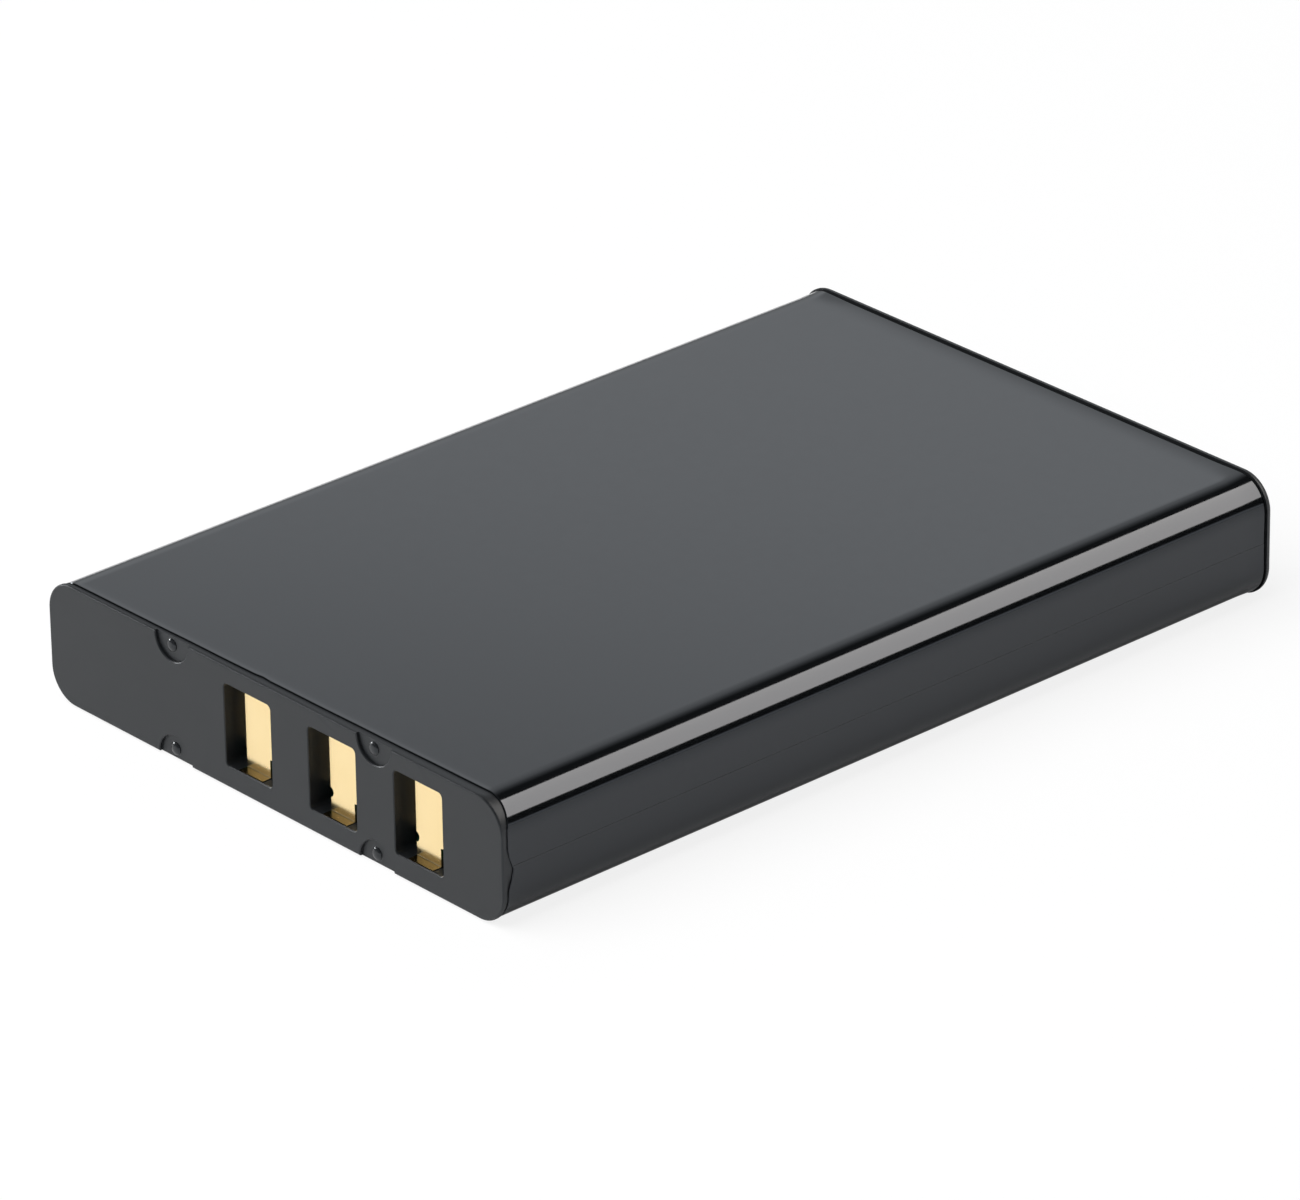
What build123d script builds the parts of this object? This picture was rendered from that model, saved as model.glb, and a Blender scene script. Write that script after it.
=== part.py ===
"""Flat rechargeable camera battery: a film-wrapped cell between two moulded caps.

X runs across the pack, Y along it and Z up. The pack lies on its broad face, its three
contacts look towards -Y, and the origin is the middle of the surface it lies on.
"""
import os

from build123d import *

# Overall size of the pack, in millimetres: the rear rim is its largest section
PACK_LENGTH = 53.0
PACK_WIDTH = 35.2
PACK_THICKNESS = 7.0
CORNER_RADIUS = 1.9

# How far each section lies inside the rear rim, all the way round
FRONT_RIM_INSET = 0.09
FILM_INSET = 0.15
FILM_GAUGE = 0.12
CORE_INSET = FILM_INSET + FILM_GAUGE
SKIRT_WALL = 0.7
CAVITY_INSET = CORE_INSET + SKIRT_WALL
INNER_CLEARANCE = 0.14

# Front cap, measured back from the terminal face
FRONT_RIM_DEPTH = 0.22
FRONT_EDGE_RADIUS = 0.14
FRONT_WALL = 1.3
FRONT_CAP_DEPTH = 3.9
FILM_GAP = 0.1

# Contact windows in the terminal face
WINDOW_COUNT = 3
WINDOW_WIDTH = 3.6
WINDOW_HEIGHT = 4.6
WINDOW_RADIUS = 0.25
WINDOW_PITCH = 6.5
FIRST_WINDOW_X = -1.75
WINDOW_RISE = 0.1

# Half-round notches on the long edges of the terminal face, with a pip in each
NOTCH_RADIUS = 1.3
NOTCH_DEPTH = 0.35
NOTCH_SPACING = 15.6
NOTCH_PAIR_X = 0.2
PIP_RADIUS = 0.25
PIP_FROM_EDGE = 0.6

# Ribs and snap ridges that locate the board inside the front cap
RIB_WIDTH = 0.8
RIDGE_LENGTH = 2.0
RIDGE_HEIGHT = 0.25
RIDGE_FLAT = 0.2
RIDGE_RAMP = 0.5
RIDGE_X = 14.0

# Formed contacts: side strips behind the front wall, a pad raised between them, a foot below it
CONTACT_GAUGE = 0.2
CONTACT_BEND = 0.15
CONTACT_WIDTH = 4.4
CONTACT_HEADROOM = 0.1
CONTACT_PAD_WIDTH = 2.3
CONTACT_PAD_SETBACK = 0.65
CONTACT_SIDE_RISE = 1.04
CONTACT_NICK_RADIUS = 0.3
CONTACT_NICK_INSET = 0.15
FOOT_WIDTH = 1.8
FOOT_SETBACK = 0.12
FOOT_PROUD = 0.03
POCKET_CLEARANCE = 0.03

# Protection board and the parts on its inner side
BOARD_GAUGE = 0.8
CHIP_HEIGHT = 0.7
PROTECTION_CHIP_X = 3.9
PROTECTION_CHIP_SIZE = (2.9, 1.6)
LEG_WIDTH = 0.35
LEG_PITCH = 0.95
LEG_REACH = 0.6
LEG_GAUGE = 0.15
POWER_SWITCH_X = 7.6
POWER_SWITCH_SIZE = (3.0, 2.0)
CHIP_EDGE = 0.1
PASSIVE_LENGTH = 1.6
PASSIVE_WIDTH = 0.8
PASSIVE_HEIGHT = 0.45
PASSIVE_CAP = 0.3
PASSIVE_CAP_PROUD = 0.03
PASSIVE_ROW = 1.2
RESISTOR_X = 0.9
CAPACITOR_X = -1.3
THERMISTOR_X = -4.5

# Cell, its terminal and the insulator on its lid
CAN_FLOOR_BEVEL = 0.4
GASKET_SIZE = (7.0, 3.4)
GASKET_GAUGE = 0.3
COLLAR_RADIUS = 1.0
COLLAR_DEPTH = 1.1
COLLAR_FLOOR = 0.2
RIVET_SIZE = (5.0, 2.6)
RIVET_HEAD = 0.3
RIVET_SHANK_RADIUS = 0.7
TERMINAL_CORNER = 0.5
FILL_PLUG_X = 6.0
FILL_PLUG_RADIUS = 0.6
FILL_PLUG_DEPTH = 0.5
PAPER_GAUGE = 0.15
PAPER_OPENING_MARGIN = 0.1

# Nickel strips and the thermal cutoff between the cell and the board
STRIP_GAUGE = 0.12
STRIP_WIDTH = 2.4
NEGATIVE_TAB_END_X = 2.2
CUTOFF_X = -7.3
CUTOFF_SIZE = (4.6, 2.8)
CUTOFF_HEIGHT = 0.75
CUTOFF_LEAD_TURN_X = -11.2
CUTOFF_LEAD_END_X = -8.0
CUTOFF_LEAD_BEND = 0.4
CAN_WELD_X = 8.8
POSITIVE_TURN_X = 14.2
POSITIVE_END_X = 10.6
POSITIVE_BEND = 0.7

# Rear cap, measured forward from the rear face: a thin rim, then the neck under the film's end
REAR_RIM_DEPTH = 0.4
REAR_EDGE_RADIUS = 0.33
REAR_NECK = 1.1
PAD_GAUGE = 0.2
PAD_MARGIN = 0.6

# Lap seam of the film on the +X side: the outer turn comes up from the underside and ends here
LAP_STEP = 0.05
LAP_TOP_Z = 3.4
LAP_START_X = 11.0

# Places worked out from the sizes above
MID_Z = PACK_THICKNESS / 2
FRONT_Y = -PACK_LENGTH / 2
REAR_Y = PACK_LENGTH / 2
WALL_Y = FRONT_Y + FRONT_WALL
BOARD_Y = WALL_Y + CONTACT_GAUGE
BOARD_BACK_Y = BOARD_Y + BOARD_GAUGE
LID_Y = FRONT_Y + FRONT_CAP_DEPTH
REAR_RIM_Y = REAR_Y - REAR_RIM_DEPTH
FILM_START_Y = FRONT_Y + FRONT_RIM_DEPTH + FILM_GAP
FILM_END_Y = REAR_RIM_Y - FILM_GAP
NECK_Y = REAR_RIM_Y - REAR_NECK
CAN_END_Y = NECK_Y - PAD_GAUGE
WINDOW_Z = MID_Z + WINDOW_RISE
SILL_Z = WINDOW_Z - WINDOW_HEIGHT / 2
RIVET_TOP_Y = LID_Y - GASKET_GAUGE - RIVET_HEAD
TAB_MID_Y = RIVET_TOP_Y - STRIP_GAUGE / 2
BOARD_STRIP_Y = BOARD_BACK_Y + STRIP_GAUGE / 2
WINDOW_XS = [FIRST_WINDOW_X + i * WINDOW_PITCH for i in range(WINDOW_COUNT)]
CUT_MARGIN = 0.5


def upright(y, x=0, z=MID_Z):
    """Workplane facing the terminal end, at y along the pack, centred on x and z."""
    return Plane.XZ.offset(-y) * Pos(x, z)


def raise_face(outline, y0, y1, x=0, z=MID_Z):
    """Solid of a flat outline between two places along the pack."""
    return extrude(upright(y1, x, z) * outline, amount=y1 - y0)


def section(inset):
    """Rounded cross-section of the pack, drawn in by inset from the rear rim."""
    return RectangleRounded(PACK_WIDTH - 2 * inset, PACK_THICKNESS - 2 * inset, CORNER_RADIUS - inset)


def slab(inset, y0, y1):
    """Length of the pack's cross-section between two places along it."""
    return raise_face(section(inset), y0, y1)


def bent_strip(plane, points, bend, gauge, width):
    """Strip of sheet metal bent along points, which see it edge on in the given plane."""
    edge_view = trace(FilletPolyline(*points, radius=bend), line_width=gauge)
    return extrude(plane * edge_view, amount=width / 2, both=True)


def contact_window(x):
    """Opening in the terminal face, cut right through the front wall."""
    opening = RectangleRounded(WINDOW_WIDTH, WINDOW_HEIGHT, WINDOW_RADIUS)
    return raise_face(opening, FRONT_Y - CUT_MARGIN, WALL_Y + CUT_MARGIN, x, WINDOW_Z)


def foot_pocket(x):
    """Shallow pocket in a window's sill that takes the foot of its contact."""
    depth = CONTACT_GAUGE - FOOT_PROUD + POCKET_CLEARANCE
    outline = Rectangle(FOOT_WIDTH + 2 * POCKET_CLEARANCE, 2 * depth)
    front_y = FRONT_Y + FOOT_SETBACK - POCKET_CLEARANCE
    return raise_face(outline, front_y, WALL_Y + CUT_MARGIN, x, SILL_Z)


def notch_places():
    """Centres of the four edge notches as x, z and the direction towards the middle."""
    half_height = MID_Z - FRONT_RIM_INSET
    for x in (NOTCH_PAIR_X - NOTCH_SPACING / 2, NOTCH_PAIR_X + NOTCH_SPACING / 2):
        for side in (-1, 1):
            yield x, MID_Z + side * half_height, -side


def snap_ridge(x, side):
    """Wedge on the inside of the skirt that the board snaps past, below or above it."""
    wall_z = MID_Z + side * (PACK_THICKNESS / 2 - CAVITY_INSET)
    crest_z = wall_z - side * RIDGE_HEIGHT
    root_z = wall_z + side * SKIRT_WALL / 2
    crest_end_y = BOARD_BACK_Y + RIDGE_FLAT
    profile = make_face(
        Polyline(
            (BOARD_BACK_Y, root_z),
            (BOARD_BACK_Y, crest_z),
            (crest_end_y, crest_z),
            (crest_end_y + RIDGE_RAMP, root_z),
            close=True,
        )
    )
    return extrude(Plane.YZ.offset(x) * profile, amount=RIDGE_LENGTH / 2, both=True)


def front_cap():
    """Moulded terminal cap: a proud rim, a hollow neck under the film, windows and notches."""
    rim = slab(FRONT_RIM_INSET, FRONT_Y, FRONT_Y + FRONT_RIM_DEPTH)
    rim = fillet(rim.edges().group_by(Axis.Y)[0], FRONT_EDGE_RADIUS)
    cap = rim + slab(CORE_INSET, FRONT_Y + FRONT_RIM_DEPTH, LID_Y)
    cap -= slab(CAVITY_INSET, WALL_Y, LID_Y)
    for x in WINDOW_XS:
        cap -= contact_window(x)
        cap -= foot_pocket(x)
    for x, z, inward in notch_places():
        floor_y = FRONT_Y + NOTCH_DEPTH
        cap -= raise_face(Circle(NOTCH_RADIUS), FRONT_Y - CUT_MARGIN, floor_y, x, z)
        cap += Pos(x, floor_y, z + inward * PIP_FROM_EDGE) * Sphere(PIP_RADIUS)
    rib_height = PACK_THICKNESS - 2 * CAVITY_INSET
    for i in range(WINDOW_COUNT + 1):
        rib_x = FIRST_WINDOW_X + (i - 0.5) * WINDOW_PITCH
        cap += raise_face(Rectangle(RIB_WIDTH, rib_height), WALL_Y, BOARD_Y, rib_x)
    for x in (-RIDGE_X, RIDGE_X):
        for side in (-1, 1):
            cap += snap_ridge(x, side)
    return cap


def contact(x):
    """Gold-plated contact: strips behind the wall, a pad raised into the window, a foot on its sill."""
    side_x = CONTACT_WIDTH / 2
    side_y = WALL_Y + CONTACT_GAUGE / 2
    bend_x = (CONTACT_PAD_WIDTH - CONTACT_GAUGE) / 2
    pad_y = FRONT_Y + CONTACT_PAD_SETBACK + CONTACT_GAUGE / 2
    pad_route = [
        (x - side_x, side_y),
        (x - bend_x, side_y),
        (x - bend_x, pad_y),
        (x + bend_x, pad_y),
        (x + bend_x, side_y),
        (x + side_x, side_y),
    ]
    low_z = SILL_Z + CONTACT_SIDE_RISE
    top_z = SILL_Z + WINDOW_HEIGHT - CONTACT_HEADROOM
    middle_z = (low_z + top_z) / 2
    pad = bent_strip(Plane.XY.offset(middle_z), pad_route, CONTACT_BEND, CONTACT_GAUGE, top_z - low_z)
    foot_z = SILL_Z + FOOT_PROUD - CONTACT_GAUGE / 2
    foot_route = [(FRONT_Y + FOOT_SETBACK, foot_z), (pad_y, foot_z), (pad_y, middle_z)]
    return pad + bent_strip(Plane.YZ.offset(x), foot_route, CONTACT_BEND, CONTACT_GAUGE, FOOT_WIDTH)


def nicked_contact(x):
    """Contact with a round relief at one lower end of its pad, as the sense and positive ones show."""
    nick_x = x - CONTACT_PAD_WIDTH / 2 + CONTACT_NICK_INSET
    nick = raise_face(Circle(CONTACT_NICK_RADIUS), FRONT_Y, WALL_Y, nick_x, SILL_Z + CONTACT_SIDE_RISE)
    return contact(x) - nick


def film_wrap():
    """Film sleeve over the cell and the caps' necks, doubled where its end laps over its start."""
    skin = slab(FILM_INSET, FILM_START_Y, FILM_END_Y)
    sleeve = skin - slab(CORE_INSET, FILM_START_Y, FILM_END_Y)
    outer_turn = slab(FILM_INSET - LAP_STEP, FILM_START_Y, FILM_END_Y) - skin
    lap_width = PACK_WIDTH / 2 - LAP_START_X
    lap_zone = Pos(LAP_START_X, 0, 0) * Box(
        lap_width, PACK_LENGTH, LAP_TOP_Z, align=(Align.MIN, Align.CENTER, Align.MIN)
    )
    return sleeve + (outer_turn & lap_zone)


def rear_cap():
    """Moulded rear cap: a neck under the film's end and a thin rounded rim that stands proud."""
    rim = slab(0, REAR_RIM_Y, REAR_Y)
    rim = fillet(rim.edges().group_by(Axis.Y)[-1], REAR_EDGE_RADIUS)
    return slab(CORE_INSET, NECK_Y, REAR_RIM_Y) + rim


def circuit_board():
    """Glass-fibre board that fills the front cap's hollow, its face against the contacts."""
    return slab(CAVITY_INSET + INNER_CLEARANCE, BOARD_Y, BOARD_BACK_Y)


def chip_body(x, size):
    """Moulded chip package on the back of the board, its far edges bevelled."""
    body = raise_face(Rectangle(*size), BOARD_BACK_Y, BOARD_BACK_Y + CHIP_HEIGHT, x)
    return chamfer(body.edges().group_by(Axis.Y)[-1], CHIP_EDGE)


def protection_chip():
    """Six-legged chip that watches the cell's voltage and current."""
    chip = chip_body(PROTECTION_CHIP_X, PROTECTION_CHIP_SIZE)
    span = PROTECTION_CHIP_SIZE[1] + 2 * LEG_REACH
    for i in (-1, 0, 1):
        leg_x = PROTECTION_CHIP_X + i * LEG_PITCH
        chip += raise_face(Rectangle(LEG_WIDTH, span), BOARD_BACK_Y, BOARD_BACK_Y + LEG_GAUGE, leg_x)
    return chip


def power_switch():
    """Leadless double transistor that cuts the pack off."""
    return chip_body(POWER_SWITCH_X, POWER_SWITCH_SIZE)


def passive(x, z):
    """Small chip component with a plated cap at each end."""
    height = PASSIVE_HEIGHT - PASSIVE_CAP_PROUD
    piece = raise_face(Rectangle(PASSIVE_LENGTH, PASSIVE_WIDTH), BOARD_BACK_Y, BOARD_BACK_Y + height, x, z)
    end_face = Rectangle(PASSIVE_CAP, PASSIVE_WIDTH + 2 * PASSIVE_CAP_PROUD)
    for side in (-1, 1):
        end_x = x + side * (PASSIVE_LENGTH - PASSIVE_CAP) / 2
        piece += raise_face(end_face, BOARD_BACK_Y, BOARD_BACK_Y + PASSIVE_HEIGHT, end_x, z)
    return piece


def passive_pair(x):
    """Two chip components, one above the other."""
    return Compound(children=[passive(x, MID_Z - PASSIVE_ROW), passive(x, MID_Z + PASSIVE_ROW)])


def cell_can():
    """Sealed aluminium cell with its lid welded in, bored for the terminal and the fill plug."""
    can = slab(CORE_INSET, LID_Y, CAN_END_Y)
    can = chamfer(can.edges().group_by(Axis.Y)[-1], CAN_FLOOR_BEVEL)
    can -= raise_face(Circle(COLLAR_RADIUS), LID_Y - CUT_MARGIN, LID_Y + COLLAR_DEPTH)
    can -= raise_face(Circle(FILL_PLUG_RADIUS), LID_Y - CUT_MARGIN, LID_Y + FILL_PLUG_DEPTH, FILL_PLUG_X)
    return can


def terminal_gasket():
    """Insulating plate on the lid with a closed collar that lines the terminal's hole."""
    plate = raise_face(RectangleRounded(*GASKET_SIZE, TERMINAL_CORNER), LID_Y - GASKET_GAUGE, LID_Y)
    gasket = plate + raise_face(Circle(COLLAR_RADIUS), LID_Y, LID_Y + COLLAR_DEPTH)
    shank_end_y = LID_Y + COLLAR_DEPTH - COLLAR_FLOOR
    return gasket - raise_face(Circle(RIVET_SHANK_RADIUS), LID_Y - GASKET_GAUGE, shank_end_y)


def terminal_rivet():
    """Cell's centre terminal: a flat head with a shank down the gasket's collar."""
    head = raise_face(RectangleRounded(*RIVET_SIZE, TERMINAL_CORNER), RIVET_TOP_Y, LID_Y - GASKET_GAUGE)
    shank_end_y = LID_Y + COLLAR_DEPTH - COLLAR_FLOOR
    return head + raise_face(Circle(RIVET_SHANK_RADIUS), LID_Y - GASKET_GAUGE, shank_end_y)


def fill_plug():
    """Plug pressed flush into the electrolyte filling hole."""
    return raise_face(Circle(FILL_PLUG_RADIUS), LID_Y, LID_Y + FILL_PLUG_DEPTH, FILL_PLUG_X)


def lid_insulator():
    """Die-cut paper on the lid, open round the gasket and where the positive strip is welded."""
    paper = slab(CAVITY_INSET + INNER_CLEARANCE, LID_Y - PAPER_GAUGE, LID_Y)
    hole_width, hole_height = (size + 2 * PAPER_OPENING_MARGIN for size in GASKET_SIZE)
    paper -= raise_face(Rectangle(hole_width, hole_height), LID_Y - CUT_MARGIN, LID_Y)
    weld_length = POSITIVE_TURN_X - CAN_WELD_X + STRIP_GAUGE
    weld_hole = Rectangle(weld_length + 2 * PAPER_OPENING_MARGIN, STRIP_WIDTH + 2 * PAPER_OPENING_MARGIN)
    weld_x = CAN_WELD_X + weld_length / 2
    return paper - raise_face(weld_hole, LID_Y - CUT_MARGIN, LID_Y, weld_x)


def negative_tab():
    """Nickel strip from the terminal to the thermal cutoff."""
    cutoff_end_x = CUTOFF_X + CUTOFF_SIZE[0] / 2
    length = NEGATIVE_TAB_END_X - cutoff_end_x
    strip = Rectangle(length, STRIP_WIDTH)
    return raise_face(strip, RIVET_TOP_Y - STRIP_GAUGE, RIVET_TOP_Y, cutoff_end_x + length / 2)


def thermal_cutoff():
    """Flat resettable cutoff lying on the insulator, its leads at its two ends."""
    front_y = LID_Y - PAPER_GAUGE - CUTOFF_HEIGHT
    return raise_face(Rectangle(*CUTOFF_SIZE), front_y, LID_Y - PAPER_GAUGE, CUTOFF_X)


def cutoff_lead():
    """Nickel strip folded back from the cutoff's far end on to the board."""
    cutoff_end_x = CUTOFF_X - CUTOFF_SIZE[0] / 2
    route = [
        (cutoff_end_x, TAB_MID_Y),
        (CUTOFF_LEAD_TURN_X, TAB_MID_Y),
        (CUTOFF_LEAD_TURN_X, BOARD_STRIP_Y),
        (CUTOFF_LEAD_END_X, BOARD_STRIP_Y),
    ]
    return bent_strip(Plane.XY.offset(MID_Z), route, CUTOFF_LEAD_BEND, STRIP_GAUGE, STRIP_WIDTH)


def positive_tab():
    """Nickel strip welded to the can's lid and folded back on to the board."""
    lid_strip_y = LID_Y - STRIP_GAUGE / 2
    route = [
        (CAN_WELD_X, lid_strip_y),
        (POSITIVE_TURN_X, lid_strip_y),
        (POSITIVE_TURN_X, BOARD_STRIP_Y),
        (POSITIVE_END_X, BOARD_STRIP_Y),
    ]
    return bent_strip(Plane.XY.offset(MID_Z), route, POSITIVE_BEND, STRIP_GAUGE, STRIP_WIDTH)


def rear_pad():
    """Adhesive pad between the floor of the can and the rear cap."""
    return slab(CORE_INSET + PAD_MARGIN, CAN_END_Y, NECK_Y)


NODES = {
    "film_wrap": film_wrap(),
    "front_cap": front_cap(),
    "rear_cap": rear_cap(),
    "contact_negative": contact(WINDOW_XS[0]),
    "contact_sense": nicked_contact(WINDOW_XS[1]),
    "contact_positive": nicked_contact(WINDOW_XS[2]),
    "circuit_board": circuit_board(),
    "protection_chip": protection_chip(),
    "power_switch": power_switch(),
    "thermistor": passive(THERMISTOR_X, MID_Z),
    "chip_resistors": passive_pair(RESISTOR_X),
    "chip_capacitors": passive_pair(CAPACITOR_X),
    "cell_can": cell_can(),
    "terminal_gasket": terminal_gasket(),
    "terminal_rivet": terminal_rivet(),
    "fill_plug": fill_plug(),
    "lid_insulator": lid_insulator(),
    "negative_tab": negative_tab(),
    "thermal_cutoff": thermal_cutoff(),
    "cutoff_lead": cutoff_lead(),
    "positive_tab": positive_tab(),
    "rear_pad": rear_pad(),
}

os.makedirs("parts", exist_ok=True)
for name, shape in NODES.items():
    export_step(shape, f"parts/{name}.step")
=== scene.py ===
"""Looks of a slim film-wrapped camera battery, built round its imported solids."""
import math

import bmesh
import bpy
from mathutils import Matrix, Vector, noise


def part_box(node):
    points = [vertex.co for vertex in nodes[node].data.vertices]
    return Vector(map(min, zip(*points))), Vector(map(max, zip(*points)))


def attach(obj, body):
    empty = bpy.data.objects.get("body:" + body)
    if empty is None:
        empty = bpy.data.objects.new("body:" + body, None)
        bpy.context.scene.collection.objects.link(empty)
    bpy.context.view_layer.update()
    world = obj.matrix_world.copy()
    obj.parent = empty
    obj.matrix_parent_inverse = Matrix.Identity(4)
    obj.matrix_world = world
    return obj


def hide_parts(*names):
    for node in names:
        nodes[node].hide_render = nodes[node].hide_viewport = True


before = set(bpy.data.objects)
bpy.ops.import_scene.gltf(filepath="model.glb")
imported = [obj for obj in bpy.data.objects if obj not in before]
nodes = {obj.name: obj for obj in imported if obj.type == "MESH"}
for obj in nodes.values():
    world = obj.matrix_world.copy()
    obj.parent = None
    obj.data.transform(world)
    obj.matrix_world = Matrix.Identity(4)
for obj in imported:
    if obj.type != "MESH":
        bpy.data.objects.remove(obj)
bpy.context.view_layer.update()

# The cell: a deep-drawn aluminium can with its lid laser-welded in. It is the pack's
# core, and the film and the caps hide it.


class Wire:
    """Output of a node: arithmetic on it adds Math nodes, and node() adds any other node."""

    def __init__(self, tree, socket=None):
        self.tree = tree
        self.socket = socket

    def node(self, kind, settings=None, sockets=None, output=0):
        """Adds a node: its settings first, then the values or links of its sockets."""
        made = self.tree.nodes.new(kind)
        for name, value in (settings or {}).items():
            if name == "stops":
                self.set_stops(made.color_ramp.elements, value)
            else:
                setattr(made, name, value)
        for key, value in (sockets or {}).items():
            wires = value if isinstance(value, list) else [value]
            for wire in wires:
                if isinstance(wire, Wire):
                    self.tree.links.new(wire.socket, made.inputs[key])
                else:
                    made.inputs[key].default_value = wire
        return Wire(self.tree, made.outputs[output] if made.outputs else None)

    @staticmethod
    def set_stops(elements, stops):
        """Gives a ramp its stops, each a place and a grey level."""
        while len(elements) < len(stops):
            elements.new(1.0)
        for element, (place, grey) in zip(elements, stops):
            element.position = place
            element.color = (grey, grey, grey, 1.0)

    def maths(self, operation, other=0.0):
        """Math node on this value and another one."""
        return self.node("ShaderNodeMath", {"operation": operation}, {0: self, 1: other})

    def __add__(self, other):
        return self.maths("ADD", other)

    def __sub__(self, other):
        return self.maths("SUBTRACT", other)

    def __mul__(self, other):
        return self.maths("MULTIPLY", other)

    def vector_maths(self, operation, other=(0.0, 0.0, 0.0), output="Vector"):
        """Vector Math node on this vector and another one."""
        sockets = {0: self, 1: other}
        return self.node("ShaderNodeVectorMath", {"operation": operation}, sockets, output)

    def noise(self, scale, detail=2.0, roughness=0.5):
        """Noise from 0 to 1 on these coordinates."""
        sockets = {"Vector": self, "Scale": scale, "Detail": detail, "Roughness": roughness}
        return self.node("ShaderNodeTexNoise", {}, sockets)

    def stretched(self, scale):
        """These coordinates scaled along each axis."""
        return self.node("ShaderNodeMapping", {}, {"Vector": self, "Scale": scale})

    def ramp(self, *stops):
        """Grey ramp over this value."""
        return self.node("ShaderNodeValToRGB", {"stops": stops}, {"Fac": self})

    def mix(self, dark, light):
        """Colour between dark and light as this value goes from 0 to 1."""
        sockets = {0: self, 6: (*dark, 1.0), 7: (*light, 1.0)}
        return self.node("ShaderNodeMix", {"data_type": "RGBA"}, sockets, output=2)

    def bump(self, strength, distance):
        """Normal of a surface raised by this height, with distance in metres."""
        sockets = {"Height": self, "Strength": strength, "Distance": distance}
        return self.node("ShaderNodeBump", {}, sockets)


def start_material(name):
    """Empty material and a wire that carries its Object coordinates."""
    material = bpy.data.materials.new(name)
    material.use_nodes = True
    material.node_tree.nodes.clear()
    coords = Wire(material.node_tree).node("ShaderNodeTexCoord", {}, {}, output="Object")
    return material, coords


def finish_material(material, coords, sockets):
    """Principled surface with the given sockets as the material's output."""
    shader = coords.node("ShaderNodeBsdfPrincipled", {}, sockets)
    coords.node("ShaderNodeOutputMaterial", {}, {"Surface": shader})
    return material


def dress(node, material):
    """Gives a CAD node's object its finish."""
    nodes[node].data.materials.clear()
    nodes[node].data.materials.append(material)


def drawn_aluminium():
    """Aluminium with fine drawing lines along the can."""
    material, coords = start_material("drawn_aluminium")
    lines = coords.stretched((9000.0, 150.0, 9000.0)).noise(1.0, detail=3.0)
    cloud = coords.noise(300.0)
    return finish_material(material, coords, {
        "Base Color": cloud.mix((0.68, 0.68, 0.69), (0.8, 0.8, 0.81)),
        "Metallic": 1.0,
        "Roughness": lines * 0.15 + 0.27,
        "Normal": lines.bump(0.3, 2e-6),
    })


dress("cell_can", drawn_aluminium())

# The cell's terminal: a nickel-plated rivet in a moulded insulator, the filling plug
# beside it, and the nickel strips welded between the cell, the cutoff and the board.


def rolled_nickel():
    """Bright strip with rolling marks along its length."""
    material, coords = start_material("rolled_nickel")
    marks = coords.stretched((200.0, 6000.0, 6000.0)).noise(1.0, detail=3.0)
    return finish_material(material, coords, {
        "Base Color": marks.mix((0.6, 0.58, 0.54), (0.71, 0.69, 0.65)),
        "Metallic": 1.0,
        "Roughness": marks * 0.2 + 0.2,
        "Normal": marks.bump(0.2, 1e-6),
    })


def natural_polymer():
    """Milky moulded insulator."""
    material, coords = start_material("natural_polymer")
    cloud = coords.noise(900.0, detail=3.0)
    return finish_material(material, coords, {
        "Base Color": cloud.mix((0.74, 0.74, 0.71), (0.83, 0.83, 0.8)),
        "Roughness": cloud * 0.1 + 0.4,
    })


nickel = rolled_nickel()
for strip in ("terminal_rivet", "fill_plug", "negative_tab", "cutoff_lead", "positive_tab"):
    dress(strip, nickel)
dress("terminal_gasket", natural_polymer())

# Insulating paper on the lid, the moulded cutoff that lies on it, and the adhesive pad
# that holds the rear cap to the floor of the can.


def fibre_paper(name, dark, light):
    """Pressed fibre with a visible fleck."""
    material, coords = start_material(name)
    fleck = coords.stretched((2500.0, 2500.0, 9000.0)).noise(1.0, detail=4.0)
    return finish_material(material, coords, {
        "Base Color": fleck.mix(dark, light),
        "Roughness": 0.85,
        "Normal": fleck.bump(0.4, 5e-6),
    })


def moulded_epoxy(name, dark, light):
    """Filled moulding compound, faintly speckled."""
    material, coords = start_material(name)
    speckle = coords.noise(9000.0, detail=2.0)
    return finish_material(material, coords, {
        "Base Color": speckle.mix(dark, light),
        "Roughness": speckle * 0.15 + 0.5,
        "Normal": speckle.bump(0.3, 2e-6),
    })


dress("lid_insulator", fibre_paper("insulating_paper", (0.52, 0.54, 0.47), (0.68, 0.7, 0.63)))
dress("rear_pad", fibre_paper("adhesive_pad", (0.62, 0.62, 0.6), (0.76, 0.76, 0.74)))
dress("thermal_cutoff", moulded_epoxy("cutoff_body", (0.08, 0.08, 0.085), (0.13, 0.13, 0.135)))

# The protection board behind the contacts: green lacquered glass fibre, two black chips
# and a few ceramic chip parts with tinned ends.


def lacquered_board():
    """Green solder mask over copper tracks, which stand up a little and show lighter."""
    material, coords = start_material("lacquered_board")
    wander = coords.stretched((350.0, 1.0, 900.0)).noise(1.0, detail=0.0)
    tracks = wander.ramp((0.42, 0.0), (0.46, 1.0), (0.58, 1.0), (0.62, 0.0))
    return finish_material(material, coords, {
        "Base Color": tracks.mix((0.006, 0.03, 0.016), (0.016, 0.075, 0.038)),
        "Roughness": 0.3,
        "Normal": tracks.bump(0.5, 2e-5),
    })


TIN_WIDTH = 0.0003
TIN_COLOUR = (0.62, 0.62, 0.6, 1.0)


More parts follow.
